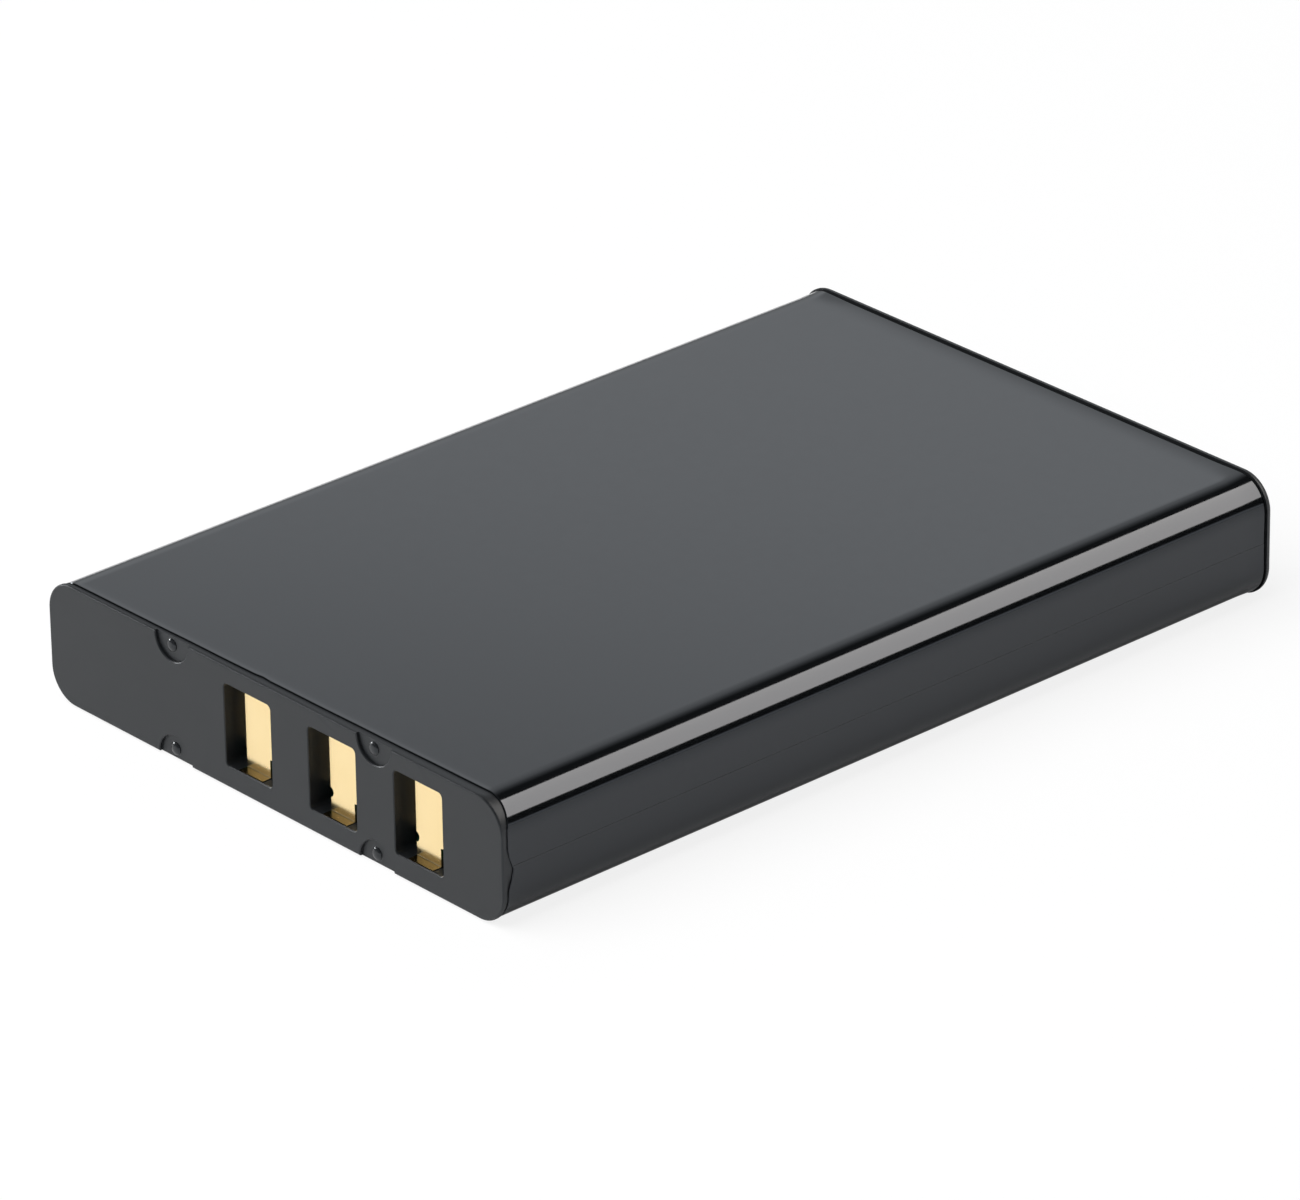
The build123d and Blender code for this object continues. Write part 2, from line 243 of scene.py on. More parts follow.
def chip_ceramic(name, body_dark, body_light, node):
    """Ceramic chip part whose two ends are dipped in tin."""
    material, coords = start_material(name)
    low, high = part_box(node)
    across = coords.node("ShaderNodeSeparateXYZ", {}, {"Vector": coords}, output="X")
    from_middle = (across - (low.x + high.x) / 2).maths("ABSOLUTE")
    tinned = from_middle.maths("GREATER_THAN", (high.x - low.x) / 2 - TIN_WIDTH)
    grain = coords.noise(12000.0)
    body = grain.mix(body_dark, body_light)
    sockets = {0: tinned, 6: body, 7: TIN_COLOUR}
    colour = tinned.node("ShaderNodeMix", {"data_type": "RGBA"}, sockets, output=2)
    return finish_material(material, coords, {
        "Base Color": colour,
        "Metallic": tinned,
        "Roughness": grain * 0.2 + 0.3,
    })


dress("circuit_board", lacquered_board())
chip_epoxy = moulded_epoxy("chip_epoxy", (0.02, 0.02, 0.02), (0.04, 0.04, 0.042))
for chip in ("protection_chip", "power_switch"):
    dress(chip, chip_epoxy)
for part in ("thermistor", "chip_resistors"):
    dress(part, chip_ceramic(f"{part}_ceramic", (0.035, 0.035, 0.04), (0.07, 0.07, 0.075), part))
tan_ceramic = chip_ceramic("capacitor_ceramic", (0.36, 0.25, 0.16), (0.48, 0.35, 0.24), "chip_capacitors")
dress("chip_capacitors", tan_ceramic)

# The three contacts: phosphor-bronze strip, bent and gold-plated. Their side strips are held
# between the cap's front wall and the board, and each has a pad raised into a window and a foot
# in a pocket of its sill.


def satin_gold():
    """Bright gold plating over rolled strip, with faint upright rolling marks."""
    material, coords = start_material("satin_gold")
    marks = coords.stretched((16000.0, 16000.0, 500.0)).noise(1.0, detail=3.0)
    cloud = coords.noise(700.0, detail=3.0)
    return finish_material(material, coords, {
        "Base Color": cloud.mix((0.94, 0.73, 0.38), (0.99, 0.787, 0.445)),
        "Metallic": 1.0,
        "Roughness": marks * 0.08 + 0.16,
        "Normal": marks.bump(0.1, 1e-6),
    })


gold = satin_gold()
for contact in ("contact_negative", "contact_sense", "contact_positive"):
    dress(contact, gold)

# The front cap: one black moulding with a spark-eroded matt grain. Its thin rim stands a hair proud
# of the film, its neck runs back under the film to the cell, a little higher under the film's end,
# and its face has three windows and four shallow half-round edge notches, each with a moulded pip.

MM = 0.001
PACK_HALF_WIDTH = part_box("rear_cap")[1].x
PACK_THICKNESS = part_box("rear_cap")[1].z
MID_Z = PACK_THICKNESS / 2
CORNER_RADIUS = 1.9 * MM
CORNER_STEPS = 16
CORNER_SIGNS = ((1, 1), (-1, 1), (-1, -1), (1, -1))
FLAT_SPACING = 0.6 * MM
FLAT_SUPPORT = 0.2 * MM
FLAT_AREA = 2.0 * MM * MM
FRONT_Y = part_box("front_cap")[0].y
LID_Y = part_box("front_cap")[1].y
FRONT_RIM_INSET = PACK_HALF_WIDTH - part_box("front_cap")[1].x
CORE_INSET = PACK_HALF_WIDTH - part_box("cell_can")[1].x
CAVITY_INSET = CORE_INSET + 0.7 * MM
FRONT_RIM_DEPTH = 0.22 * MM
FRONT_EDGE_RADIUS = 0.1 * MM
FRONT_WALL = 1.3 * MM
LAND_INSET = 0.22 * MM
FILM_START_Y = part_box("film_wrap")[0].y
LAND_Y = FILM_START_Y + 1.6 * MM
BOARD_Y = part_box("circuit_board")[0].y
BOARD_BACK_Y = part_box("circuit_board")[1].y
WINDOW_SIZE = (3.6 * MM, 4.6 * MM)
WINDOW_RADIUS = 0.25 * MM
WINDOW_LIP = 0.05 * MM
WINDOW_COUNT = 3
WINDOW_PITCH = 6.5 * MM
FIRST_WINDOW_X = -1.75 * MM
WINDOW_Z = MID_Z + 0.1 * MM
POCKET_HALF_WIDTH = 0.93 * MM
POCKET_DEPTH = 0.2 * MM
POCKET_SETBACK = 0.09 * MM
NOTCH_RADIUS = 1.3 * MM
NOTCH_DEPTH = 0.18 * MM
NOTCH_LIP = 0.05 * MM
NOTCH_SPACING = 15.6 * MM
NOTCH_PAIR_X = 0.2 * MM
PIP_RADIUS = 0.36 * MM
PIP_HEIGHT = 0.15 * MM
PIP_FROM_EDGE = 0.5 * MM
PIP_SHIFT = 0.15 * MM
PIP_POLISH_RADIUS = 1.1 * PIP_RADIUS
RIB_WIDTH = 0.8 * MM
RIDGE_LENGTH = 2.0 * MM
RIDGE_HEIGHT = 0.25 * MM
RIDGE_FLAT = 0.2 * MM
RIDGE_RAMP = 0.5 * MM
RIDGE_SPACING = 28.0 * MM
ROOT = 0.1 * MM
CUT_MARGIN = 0.5 * MM


def steps(start, end, count):
    """Evenly spaced values from start to end, both included."""
    return [start + (end - start) * i / count for i in range(count + 1)]


def arc(centre, radius, start, end, count):
    """Points of a circular arc in a plane, by angle in degrees."""
    return [
        (centre[0] + radius * math.cos(math.radians(a)), centre[1] + radius * math.sin(math.radians(a)))
        for a in steps(start, end, count)
    ]


def ring(centre, radius, count):
    """Points of a full circle in a plane."""
    return arc(centre, radius, 0, 360 - 360 / count, count - 1)


def flat_run(start, end):
    """Points inside a straight side: one close to each end, the others evenly between them."""
    length = math.dist(start, end)
    margin = FLAT_SUPPORT / length
    places = steps(margin, 1 - margin, max(2, round(length / FLAT_SPACING)))
    return [tuple(a + (b - a) * t for a, b in zip(start, end)) for t in places]


def rounded_outline(half_width, half_height, radius, count):
    """Corner points of a rounded rectangle, anticlockwise, one list of points for each corner."""
    return [
        arc((sx * (half_width - radius), sy * (half_height - radius)), radius, turn, turn + 90, count)
        for (sx, sy), turn in zip(CORNER_SIGNS, (0, 90, 180, 270))
    ]


def section_points():
    """The pack's largest section, anticlockwise, with its flats divided."""
    corners = rounded_outline(PACK_HALF_WIDTH, MID_Z, CORNER_RADIUS, CORNER_STEPS)
    points = []
    for corner, following in zip(corners, corners[1:] + corners[:1]):
        points += corner + flat_run(corner[-1], following[0])
    return points


def poly_curve(name, points, cyclic):
    """Straight-sided curve through flat points."""
    curve = bpy.data.curves.new(name, "CURVE")
    curve.dimensions = "3D"
    spline = curve.splines.new("POLY")
    spline.points.add(len(points) - 1)
    for point, place in zip(spline.points, points):
        point.co = (*place, 0.0, 1.0)
    spline.use_cyclic_u = cyclic
    made = bpy.data.objects.new(name, curve)
    bpy.context.collection.objects.link(made)
    return made


def node_group(name, inputs):
    """Geometry tree with named inputs and one geometry output; returns it with its input wires."""
    tree = bpy.data.node_groups.new(name, "GeometryNodeTree")
    for label, kind in inputs.items():
        tree.interface.new_socket(label, in_out="INPUT", socket_type=kind)
    tree.interface.new_socket("Geometry", in_out="OUTPUT", socket_type="NodeSocketGeometry")
    entry = tree.nodes.new("NodeGroupInput")
    return tree, {label: Wire(tree, entry.outputs[label]) for label in inputs}


def evaluate(piece, tree, values):
    """Runs a geometry tree on a piece with its named inputs and keeps the result as a plain mesh."""
    modifier = piece.modifiers.new(tree.name, "NODES")
    modifier.node_group = tree
    for item in tree.interface.items_tree:
        if item.in_out == "INPUT" and item.name in values:
            modifier[item.identifier] = values[item.name]
    bpy.context.view_layer.update()
    shown = piece.evaluated_get(bpy.context.evaluated_depsgraph_get())
    mesh = bpy.data.meshes.new_from_object(shown)
    piece.modifiers.clear()
    piece.data = mesh
    return piece


def sweep_tree():
    """Tree that sweeps a profile of outward offset and length round the pack's section."""
    tree, given = node_group("sweep_round_section", {
        "Geometry": "NodeSocketGeometry",
        "Section": "NodeSocketObject",
        "Profile": "NodeSocketObject",
        "Fill Ends": "NodeSocketBool",
        "Material": "NodeSocketMaterial",
    })
    wire = given["Section"]
    section = wire.node("GeometryNodeObjectInfo", {}, {"Object": given["Section"]}, output="Geometry")
    profile = wire.node("GeometryNodeObjectInfo", {}, {"Object": given["Profile"]}, output="Geometry")
    swept = wire.node("GeometryNodeCurveToMesh", {}, {
        "Curve": section, "Profile Curve": profile, "Fill Caps": given["Fill Ends"],
    })
    placed = wire.node("GeometryNodeTransform", {}, {
        "Geometry": swept,
        "Translation": (0.0, 0.0, MID_Z),
        "Rotation": (math.radians(90), 0.0, 0.0),
    })
    painted = wire.node("GeometryNodeSetMaterial", {}, {
        "Geometry": placed, "Material": given["Material"],
    })
    wire.node("NodeGroupOutput", {}, {"Geometry": painted})
    return tree


sweep_round_section = sweep_tree()


def sweep(name, section, profile, material, closed=False):
    """Shell swept from a profile of (inset, y) along a section; an open profile's ends are filled."""
    profile_curve = poly_curve(f"{name}_profile", [(-inset, y) for inset, y in profile], closed)
    piece = bpy.data.objects.new(name, bpy.data.meshes.new(name))
    bpy.context.collection.objects.link(piece)
    evaluate(piece, sweep_round_section, {
        "Section": section, "Profile": profile_curve, "Fill Ends": closed, "Material": material,
    })
    bpy.data.objects.remove(profile_curve)
    work = bmesh.new()
    work.from_mesh(piece.data)
    bmesh.ops.remove_doubles(work, verts=work.verts, dist=1e-7)
    rims = [edge for edge in work.edges if edge.is_boundary]
    bmesh.ops.holes_fill(work, edges=rims, sides=0)
    bmesh.ops.recalc_face_normals(work, faces=work.faces)
    work.to_mesh(piece.data)
    work.free()
    return piece


def shade(piece, crease, flat_area=None):
    """Smooth shading, broken at edges sharper than crease degrees and round large flat faces."""
    work = bmesh.new()
    work.from_mesh(piece.data)
    for face in work.faces:
        face.smooth = True
    for edge in work.edges:
        beside_flat = flat_area and any(face.calc_area() > flat_area for face in edge.link_faces)
        sharp = edge.calc_face_angle(math.pi) > math.radians(crease)
        edge.smooth = not (sharp or beside_flat)
    work.to_mesh(piece.data)
    work.free()


def prism(name, rings):
    """Closed solid through rings of points of equal count, as a helper object."""
    work = bmesh.new()
    loops = [[work.verts.new(point) for point in points] for points in rings]
    for lower, upper in zip(loops, loops[1:]):
        for i in range(len(lower)):
            j = (i + 1) % len(lower)
            work.faces.new((lower[i], lower[j], upper[j], upper[i]))
    work.faces.new(loops[0])
    work.faces.new(loops[-1])
    bmesh.ops.recalc_face_normals(work, faces=work.faces)
    mesh = bpy.data.meshes.new(name)
    work.to_mesh(mesh)
    work.free()
    made = bpy.data.objects.new(name, mesh)
    bpy.context.collection.objects.link(made)
    return made


def cutter(name, outline, lip, depth):
    """Cutter from in front of a face at y 0 to a depth, widened by lip at its mouth."""
    stations = ((lip + CUT_MARGIN, -CUT_MARGIN), (0.0, lip), (0.0, depth))
    return prism(name, [[(x, y, z) for x, z in outline(grow)] for grow, y in stations])


def window_outline(grow):
    """Rounded opening of one window."""
    half_width, half_height = (size / 2 + grow for size in WINDOW_SIZE)
    return sum(rounded_outline(half_width, half_height, WINDOW_RADIUS + grow, 8), [])


def notch_outline(grow):
    """Round outline of one notch."""
    return ring((0.0, 0.0), NOTCH_RADIUS + grow, 64)


def terminal_face_tree():
    """Tree that cuts windows and edge notches into the cap and adds pips, ribs and snap ridges."""
    tree, given = node_group("terminal_face", {
        "Geometry": "NodeSocketGeometry",
        "Window": "NodeSocketObject",
        "Pocket": "NodeSocketObject",
        "Window Count": "NodeSocketInt",
        "First Window": "NodeSocketVector",
        "Window Step": "NodeSocketVector",
        "Notch": "NodeSocketObject",
        "Notch Centre": "NodeSocketVector",
        "Notch Spread": "NodeSocketFloat",
        "Notch Height": "NodeSocketFloat",
        "Pip": "NodeSocketObject",
        "Pip Height": "NodeSocketFloat",
        "Rib": "NodeSocketObject",
        "First Rib": "NodeSocketVector",
        "Ridge": "NodeSocketObject",
        "First Ridge": "NodeSocketVector",
        "Ridge Step": "NodeSocketVector",
        "Material": "NodeSocketMaterial",
    })
    wire = given["Geometry"]

    def repeated(points, label, turn=0.0):
        shape = wire.node("GeometryNodeObjectInfo", {}, {"Object": given[label]}, output="Geometry")
        spread = wire.node("GeometryNodeInstanceOnPoints", {}, {
            "Points": points, "Instance": shape, "Rotation": (0.0, math.radians(turn), 0.0),
        })
        return wire.node("GeometryNodeRealizeInstances", {}, {"Geometry": spread})

    def row(count, first, step):
        sockets = {"Count": count, "Start Location": first, "Offset": step}
        return wire.node("GeometryNodeMeshLine", {}, sockets)

    def four_corners(height):
        grid = wire.node("GeometryNodeMeshGrid", {}, {
            "Size X": given["Notch Spread"], "Size Y": height, "Vertices X": 2, "Vertices Y": 2,
        })
        return wire.node("GeometryNodeTransform", {}, {
            "Geometry": grid,
            "Translation": given["Notch Centre"],
            "Rotation": (math.radians(90), 0.0, 0.0),
        })

    def combined(operation, sockets):
        settings = {"operation": operation, "solver": "EXACT"}
        return wire.node("GeometryNodeMeshBoolean", settings, sockets)

    window_row = row(given["Window Count"], given["First Window"], given["Window Step"])
    windows = repeated(window_row, "Window")
    pockets = repeated(window_row, "Pocket")
    notches = repeated(four_corners(given["Notch Height"]), "Notch")
    pips = repeated(four_corners(given["Pip Height"]), "Pip")
    ribs = repeated(row(given["Window Count"] + 1.0, given["First Rib"], given["Window Step"]), "Rib")
    ridge_row = row(2, given["First Ridge"], given["Ridge Step"])
    lower_ridges = repeated(ridge_row, "Ridge")
    upper_ridges = repeated(ridge_row, "Ridge", turn=180.0)
    with_windows = combined("DIFFERENCE", {"Mesh 1": given["Geometry"], "Mesh 2": windows})
    with_pockets = combined("DIFFERENCE", {"Mesh 1": with_windows, "Mesh 2": pockets})
    notched = combined("DIFFERENCE", {"Mesh 1": with_pockets, "Mesh 2": notches})
    whole = combined("UNION", {"Mesh 2": [notched, pips, ribs, lower_ridges, upper_ridges]})
    painted = wire.node("GeometryNodeSetMaterial", {}, {
        "Geometry": whole, "Material": given["Material"],
    })
    wire.node("NodeGroupOutput", {}, {"Geometry": painted})
    return tree


def matt_moulding():
    """Black moulded plastic: spark-eroded grain in the tool, smoother in places and on the pips."""
    material, coords = start_material("matt_moulding")
    grain = coords.noise(7000.0, detail=3.0)
    cloud = coords.noise(220.0, detail=3.0)
    pips_middle = (NOTCH_PAIR_X - PIP_SHIFT, FRONT_Y, MID_Z)
    pip = (NOTCH_SPACING / 2, NOTCH_DEPTH, MID_Z - FRONT_RIM_INSET - PIP_FROM_EDGE)
    offset = coords.vector_maths("SUBTRACT", pips_middle)
    from_pip = offset.vector_maths("ABSOLUTE").vector_maths("DISTANCE", pip, output="Value")
    on_pip = from_pip.maths("LESS_THAN", PIP_POLISH_RADIUS)
    return finish_material(material, coords, {
        "Base Color": cloud.mix((0.007, 0.008, 0.009), (0.01, 0.011, 0.012)),
        "Roughness": cloud * 0.1 + 0.42 - on_pip * 0.22,
        "Specular Tint": (0.91, 0.95, 1.0, 1.0),
        "Normal": grain.bump(0.3, 6e-6),
    })


def front_cap_profile():
    """Insets and places along the pack from the face, over the rim and the neck, into the hollow."""
    rim_y = FRONT_Y + FRONT_EDGE_RADIUS
    edge = arc((FRONT_RIM_INSET + FRONT_EDGE_RADIUS, rim_y), FRONT_EDGE_RADIUS, 270, 180, 8)
    neck_y = FRONT_Y + FRONT_RIM_DEPTH
    wall_y = FRONT_Y + FRONT_WALL
    return edge + [
        (FRONT_RIM_INSET, neck_y),
        (LAND_INSET, neck_y),
        (LAND_INSET, LAND_Y),
        (CORE_INSET, LAND_Y),
        (CORE_INSET, LID_Y),
        (CAVITY_INSET, LID_Y),
        (CAVITY_INSET, wall_y),
    ]


cap_plastic = matt_moulding()
section_curve = poly_curve("section", section_points(), True)
front_cap = sweep("front_cap_moulding", section_curve, front_cap_profile(), cap_plastic)
window_cutter = cutter("window_cutter", window_outline, WINDOW_LIP, FRONT_WALL + CUT_MARGIN)
sill = WINDOW_SIZE[1] / 2
pocket_cutter = prism("pocket_cutter", [
    [(x * POCKET_HALF_WIDTH, y, z * POCKET_DEPTH - sill) for x, z in CORNER_SIGNS]
    for y in (POCKET_SETBACK, FRONT_WALL + CUT_MARGIN)
])
notch_cutter = cutter("notch_cutter", notch_outline, NOTCH_LIP, NOTCH_DEPTH)
pip_dome = prism("pip_dome", [
    [(x, NOTCH_DEPTH - PIP_HEIGHT * rise, z) for x, z in ring((-PIP_SHIFT, 0.0), PIP_RADIUS * reach, 24)]
    for reach, rise in arc((0.0, 0.0), 1.0, -30, 85, 8)
])
cavity_half = MID_Z - CAVITY_INSET
rib_depth = BOARD_Y - FRONT_Y - FRONT_WALL
rib_block = prism("rib_block", [
    [(x * RIB_WIDTH / 2, y, z * (cavity_half + ROOT)) for x, z in CORNER_SIGNS]
    for y in (-ROOT, rib_depth)
])
ridge_wedge = prism("ridge_wedge", [
    [
        (x, 0.0, -cavity_half - ROOT),
        (x, 0.0, RIDGE_HEIGHT - cavity_half),
        (x, RIDGE_FLAT, RIDGE_HEIGHT - cavity_half),
        (x, RIDGE_FLAT + RIDGE_RAMP, -cavity_half - ROOT),
    ]
    for x in (-RIDGE_LENGTH / 2, RIDGE_LENGTH / 2)
])
rim_height = PACK_THICKNESS - 2 * FRONT_RIM_INSET
evaluate(front_cap, terminal_face_tree(), {
    "Window": window_cutter,
    "Pocket": pocket_cutter,
    "Window Count": WINDOW_COUNT,
    "First Window": (FIRST_WINDOW_X, FRONT_Y, WINDOW_Z),
    "Window Step": (WINDOW_PITCH, 0.0, 0.0),
    "Notch": notch_cutter,
    "Notch Centre": (NOTCH_PAIR_X, FRONT_Y, MID_Z),
    "Notch Spread": NOTCH_SPACING,
    "Notch Height": rim_height,
    "Pip": pip_dome,
    "Pip Height": rim_height - 2 * PIP_FROM_EDGE,
    "Rib": rib_block,
    "First Rib": (FIRST_WINDOW_X - WINDOW_PITCH / 2, FRONT_Y + FRONT_WALL, MID_Z),
    "Ridge": ridge_wedge,
    "First Ridge": (-RIDGE_SPACING / 2, BOARD_BACK_Y, MID_Z),
    "Ridge Step": (RIDGE_SPACING, 0.0, 0.0),
    "Material": cap_plastic,
})
for helper in (window_cutter, pocket_cutter, notch_cutter, pip_dome, rib_block, ridge_wedge):
    bpy.data.objects.remove(helper)
shade(front_cap, crease=25, flat_area=FLAT_AREA)
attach(front_cap, "root")
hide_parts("front_cap")

# The rear cap: a plain black moulding stuck to the floor of the can. Its neck runs under the
# film's end, and its thin rounded rim, the pack's largest section, stands proud behind it.

REAR_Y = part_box("rear_cap")[1].y
NECK_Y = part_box("rear_cap")[0].y
REAR_RIM_DEPTH = 0.4 * MM
REAR_EDGE_RADIUS = 0.33 * MM


def rear_cap_profile():
    """Insets and places from the neck's end, along the groove, up and over the rim to the rear face."""
    rim_y = REAR_Y - REAR_RIM_DEPTH
    edge = arc((REAR_EDGE_RADIUS, REAR_Y - REAR_EDGE_RADIUS), REAR_EDGE_RADIUS, 180, 90, 8)
    return [(CORE_INSET, NECK_Y), (CORE_INSET, rim_y), (0.0, rim_y)] + edge


rear_cap = sweep("rear_cap_moulding", section_curve, rear_cap_profile(), cap_plastic)
shade(rear_cap, crease=30, flat_area=FLAT_AREA)
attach(rear_cap, "root")
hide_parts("rear_cap")

# The wrap: thin black film shrunk tight over the cell and the necks of both caps. Its outer end
# laps up one narrow side. Its front edge is cut a little askew, curls up faintly and is nicked on
# that side, and its rear edge is lifted, most at the corners, where it was drawn over the rear cap.

FILM_END_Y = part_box("film_wrap")[1].y
FILM_INSET = 0.15 * MM
FILM_EDGE = 0.03 * MM
LAP_STEP = 0.02 * MM
LAP_TOP_Z = 3.4 * MM
LAP_START_X = 11.0 * MM
EDGE_REACH = LAND_Y - FILM_START_Y
TOP_SETBACK = 0.31 * MM
TOP_SKEW = 0.0094
SIDE_SETBACK = 0.11 * MM
EDGE_WAVE = 0.03 * MM
EDGE_WAVES_PER_M = 260.0
# Each nick: the x and z of its middle, its reach along the edge and its depth.
EDGE_NICKS = (
    (17.45 * MM, 3.15 * MM, 1.1 * MM, 0.33 * MM),
    (-1.2 * MM, 6.85 * MM, 0.6 * MM, 0.06 * MM),
)
CURL = 0.006 * MM
CURL_LENGTH = 0.45 * MM
REAR_LIFT = 0.03 * MM
SWELL = 0.02 * MM
SWELL_LENGTH = 1.5 * MM
SWELL_SPREAD = 2.0 * MM


def ease(t):
    """Smooth step from 0 to 1, flat outside."""
    t = min(max(t, 0.0), 1.0)
    return t * t * (3 - 2 * t)


def film_profile(outer, inner):
    """Loop round the film's thickness, with more points on its outer face near both edges."""
    loop = [(outer + FILM_EDGE, FILM_START_Y), (outer, FILM_START_Y + FILM_EDGE)]
    loop += [(outer, y) for y in steps(FILM_START_Y + 0.2 * CURL_LENGTH, FILM_START_Y + CURL_LENGTH, 4)]
    loop += [(outer, y) for y in steps(FILM_START_Y + 2 * CURL_LENGTH, FILM_START_Y + EDGE_REACH, 2)]
    loop += [(outer, y) for y in steps(FILM_START_Y + 2 * EDGE_REACH, FILM_END_Y - SWELL_LENGTH, 20)]
    loop += [(outer, y) for y in steps(FILM_END_Y - 0.9 * SWELL_LENGTH, FILM_END_Y - FILM_EDGE, 9)]
    loop += [(outer + FILM_EDGE, FILM_END_Y), (inner, FILM_END_Y)]
    loop += [(inner, FILM_END_Y - SWELL_LENGTH), (inner, LAND_Y)]
    if inner > LAND_INSET:
        loop += [(LAND_INSET, LAND_Y)]
    return loop + [(min(inner, LAND_INSET), FILM_START_Y)]


def lap_points():
    """Part of the section under the outer turn, from the underside to its end on the +X side."""
    corner = rounded_outline(PACK_HALF_WIDTH, MID_Z, CORNER_RADIUS, CORNER_STEPS)[3]
    under = (LAP_START_X, -MID_Z)
    end = (PACK_HALF_WIDTH, LAP_TOP_Z - MID_Z)
    return [under] + flat_run(under, corner[0]) + corner + flat_run(corner[-1], end) + [end]


def settle(point):
    """Moves a point of the film to where the shrunk film lies."""
    x, y, z = point
    front = ease(1 - (y - FILM_START_Y) / EDGE_REACH)
    top = ease((z - PACK_THICKNESS) / CORNER_RADIUS + 1)
    back = SIDE_SETBACK + top * (TOP_SETBACK - SIDE_SETBACK + TOP_SKEW * x)
    back += EDGE_WAVE * noise.noise(Vector((x, z, 0.0)) * EDGE_WAVES_PER_M)
    for nick_x, nick_z, reach, depth in EDGE_NICKS:
        back += depth * ease(1 - math.dist((x, z), (nick_x, nick_z)) / reach)
    reach_x = abs(x) - (PACK_HALF_WIDTH - CORNER_RADIUS)
    reach_z = abs(z - MID_Z) - (MID_Z - CORNER_RADIUS)
    outward_x = math.copysign(max(reach_x, 0.0), x)
    outward_z = math.copysign(max(reach_z, 0.0), z - MID_Z)
    outward = Vector((outward_x, 0.0, outward_z)).normalized()
    rear = max(1 - (FILM_END_Y - y) / SWELL_LENGTH, 0.0)
    lift = (REAR_LIFT + SWELL * ease(1 + min(reach_x, reach_z) / SWELL_SPREAD)) * rear * rear
    lift += CURL * max(1 - (y - FILM_START_Y) / CURL_LENGTH, 0.0) ** 2
    return point + Vector((0.0, back * front, 0.0)) + outward * lift


def black_film():
    """Softly glossy black film with the faint unevenness of a shrunk skin."""
    material, coords = start_material("black_film")
    peel = coords.noise(1500.0, detail=2.0)
    slack = coords.noise(90.0, detail=1.0)
    return finish_material(material, coords, {
        "Base Color": slack.mix((0.003, 0.0035, 0.004), (0.004, 0.0045, 0.005)),
        "Roughness": peel * 0.05 + 0.07,
        "Specular Tint": (0.865, 0.915, 1.0, 1.0),
        "Normal": (peel * 0.02 + slack).bump(0.05, 2e-5),
    })


film_skin = black_film()
sleeve_profile = film_profile(FILM_INSET, CORE_INSET)
film = sweep("film_wrap_sleeve", section_curve, sleeve_profile, film_skin, closed=True)
lap_curve = poly_curve("lap", lap_points(), False)
lap_profile = film_profile(FILM_INSET - LAP_STEP, FILM_INSET + LAP_STEP)
lap = sweep("lap", lap_curve, lap_profile, film_skin, closed=True)
whole_film = bmesh.new()
whole_film.from_mesh(film.data)
whole_film.from_mesh(lap.data)
for vertex in whole_film.verts:
    vertex.co = settle(vertex.co)
whole_film.to_mesh(film.data)
whole_film.free()
for helper in (lap, lap_curve, section_curve):
    bpy.data.objects.remove(helper)
shade(film, crease=30)
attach(film, "root")
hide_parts("film_wrap")

# The studio: a white table in a dark surround that is bright only behind on the left and low down. A
# wide softbox above the front-left lights the table and the pack, a long one behind on the right draws
# the bright band along the pack's edge, and a small one at the left gives the pips their glint.

FLOOR_HALF = 3.0
WHITENING = {"Is Camera Ray": 0.85, "Is Glossy Ray": 0.1, "Is Transmission Ray": 0.1}


def white_table():
    """Plain white floor, lit by the lamps and partly replaced by plain white where it is seen."""
    material, coords = start_material("white_table")
    grain = coords.noise(40.0)
    lit = coords.node("ShaderNodeBsdfPrincipled", {}, {
        "Base Color": grain.mix((0.93, 0.93, 0.93), (0.95, 0.95, 0.95)),
        "Roughness": 0.9,
        "Specular IOR Level": 0.1,
    })
    rays = [
        coords.node("ShaderNodeLightPath", {}, {}, output=ray) * part
        for ray, part in WHITENING.items()
    ]
    seen = sum(rays[1:], rays[0])
    white = coords.node("ShaderNodeEmission", {}, {"Color": (1.0, 1.0, 1.0, 1.0), "Strength": 1.0})
    paper = coords.node("ShaderNodeMixShader", {}, {0: seen, 1: lit, 2: white})
    coords.node("ShaderNodeOutputMaterial", {}, {"Surface": paper})
    return material


def softbox(name, first_end, second_end, width, radiance):
    """Rectangular light 1 m from the pack, of a given radiance, from one direction to another."""
    first, second = Vector(first_end).normalized(), Vector(second_end).normalized()
    away = (first + second).normalized()
    along = (second - first).normalized()
    light = bpy.data.lights.new(name, "AREA")
    light.shape = "RECTANGLE"
    light.size, light.size_y = 2 * math.tan(first.angle(second) / 2), width
    light.energy = radiance * math.pi * light.size * light.size_y
    lamp = bpy.data.objects.new(name, light)
    bpy.context.collection.objects.link(lamp)
    turn = Matrix((along, away.cross(along), away)).transposed().to_4x4()
    lamp.matrix_world = Matrix.Translation(away) @ turn
    return lamp


floor_mesh = bpy.data.meshes.new("table")
floor_corners = [(x * FLOOR_HALF, y * FLOOR_HALF, 0.0) for x, y in CORNER_SIGNS]
floor_mesh.from_pydata(floor_corners, [], [(0, 1, 2, 3)])
floor_mesh.materials.append(white_table())
table = bpy.data.objects.new("table", floor_mesh)
bpy.context.collection.objects.link(table)

table_light = softbox("table_softbox", (-0.78, -0.43, 0.74), (0.27, -0.43, 0.74), width=1.1, radiance=4.0)
table_light.visible_glossy = False
edge_light = softbox("edge_softbox", (0.05, 0.6, 0.8), (0.72, 0.6, 0.35), width=0.4, radiance=6.5)
edge_light.data.color = (1.0, 0.94, 0.88)
pip_light = softbox("pip_softbox", (-0.92, -0.33, 0.15), (-0.86, -0.36, 0.35), width=0.25, radiance=30.0)
for light in (edge_light, pip_light):
    light.visible_diffuse = False

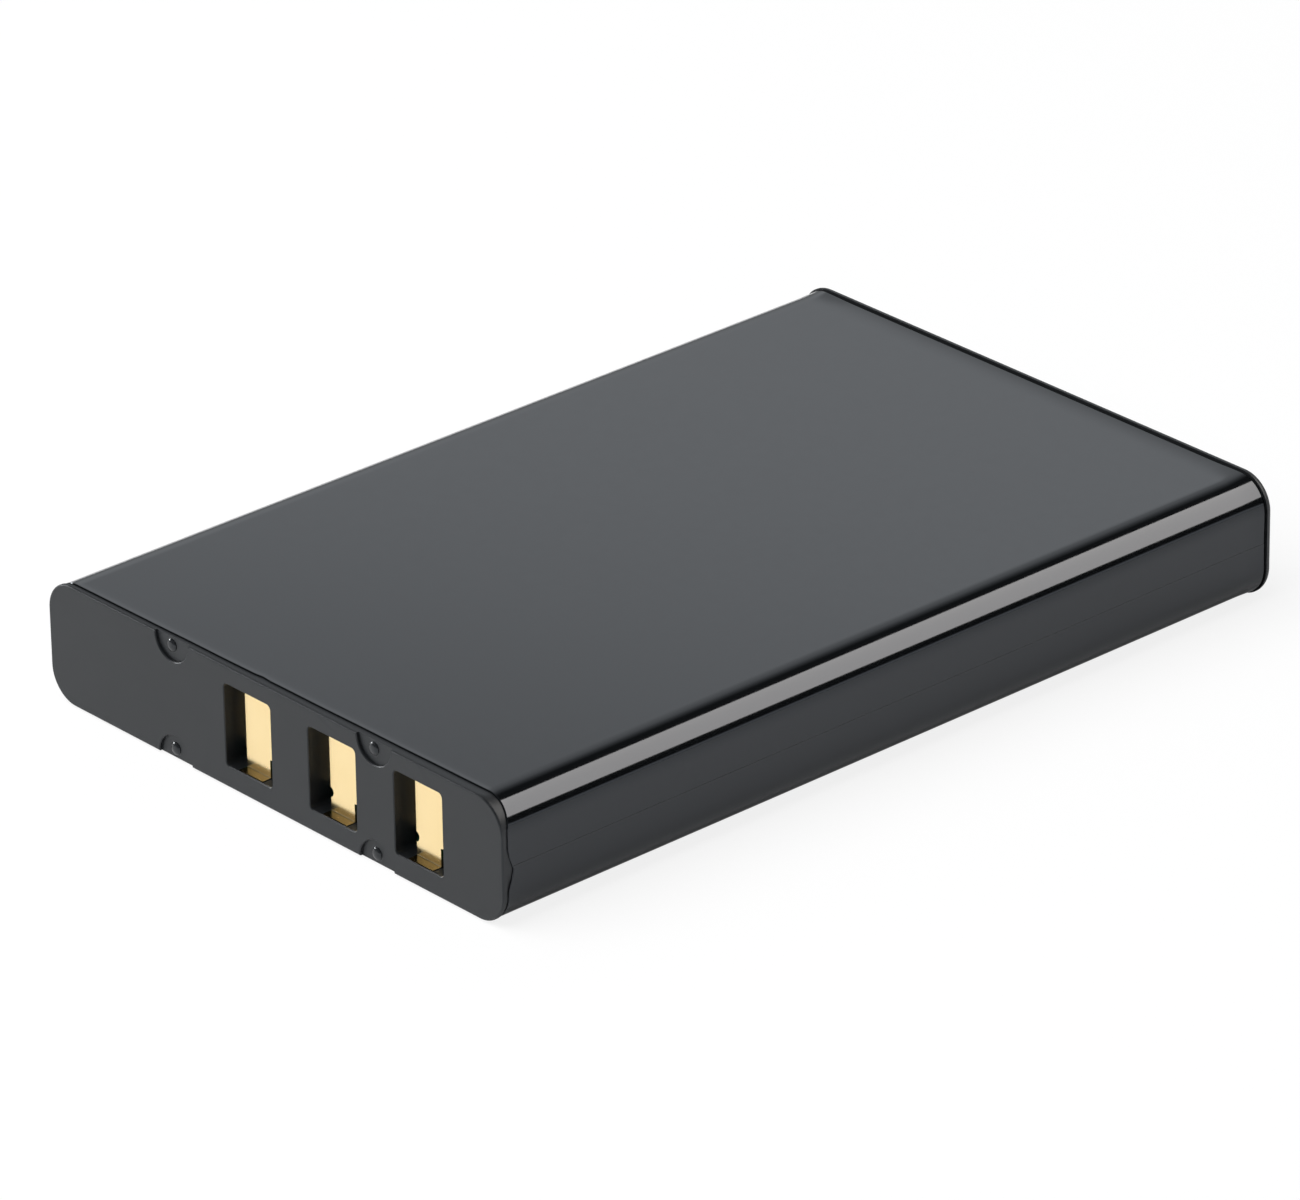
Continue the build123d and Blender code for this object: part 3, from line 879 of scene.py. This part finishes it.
world = bpy.data.worlds.new("surround")
bpy.context.scene.world = world
world.use_nodes = True
world.node_tree.nodes.clear()
sky = Wire(world.node_tree).node("ShaderNodeTexCoord", {}, {}, output="Generated")
across, behind, height = (
    sky.node("ShaderNodeSeparateXYZ", {}, {"Vector": sky}, output=axis) for axis in ("X", "Y", "Z")
)
# How bright the surround is by direction: behind on the left, low down, along the horizon on the
# right, and faintly in front.
rear_left = (behind * 0.667 - across * 0.745).ramp((0.59, 0.0), (0.7, 0.5), (0.8, 1.0))
low = (height - behind * 0.3 + 0.18).ramp(
    (0.0, 0.3), (0.2, 0.5), (0.37, 0.95), (0.43, 1.0), (0.449, 0.88), (0.465, 0.66), (0.7, 0.6))
horizon = height.ramp((0.05, 1.0), (0.1, 0.0)) * across.ramp((0.0, 0.0), (0.4, 1.0))
front = (behind * -1.0).ramp((0.2, 0.0), (0.55, 0.13))
glow = (rear_left * low + horizon + front).mix((0.028, 0.029, 0.03), (0.93, 0.965, 1.0))
backdrop = glow.node("ShaderNodeBackground", {}, {"Color": glow, "Strength": 1.12})
backdrop.node("ShaderNodeOutputWorld", {}, {"Surface": backdrop})

# The camera: a long lens 0.45 m away, turned to the viewing angle that a fit to the photograph's
# outline gave.

IMAGE_WIDTH = 1300
FOCAL_PIXELS = 8731.6
AZIMUTH, ELEVATION, ROLL = math.radians(48.319), math.radians(26.25), math.radians(-0.855)
DISTANCE = 0.449
SIDE_SHIFT, UP_SHIFT = -0.833 * MM, -0.683 * MM

facing = Vector((math.sin(AZIMUTH), -math.cos(AZIMUTH), 0.0))
back = facing * math.cos(ELEVATION) + Vector((0.0, 0.0, math.sin(ELEVATION)))
level_right = Vector((math.cos(AZIMUTH), math.sin(AZIMUTH), 0.0))
level_up = back.cross(level_right)
right = level_right * math.cos(ROLL) + level_up * math.sin(ROLL)
up = level_up * math.cos(ROLL) - level_right * math.sin(ROLL)
lens = bpy.data.cameras.new("camera")
lens.sensor_width = 36.0
lens.lens = lens.sensor_width * FOCAL_PIXELS / IMAGE_WIDTH
lens.clip_start = 0.01
camera = bpy.data.objects.new("camera", lens)
bpy.context.collection.objects.link(camera)
place = Vector((0.0, 0.0, MID_Z)) + back * DISTANCE + right * SIDE_SHIFT + up * UP_SHIFT
camera.matrix_world = Matrix.Translation(place) @ Matrix((right, up, back)).transposed().to_4x4()
bpy.context.scene.camera = camera
bpy.context.scene.view_settings.view_transform = "Standard"
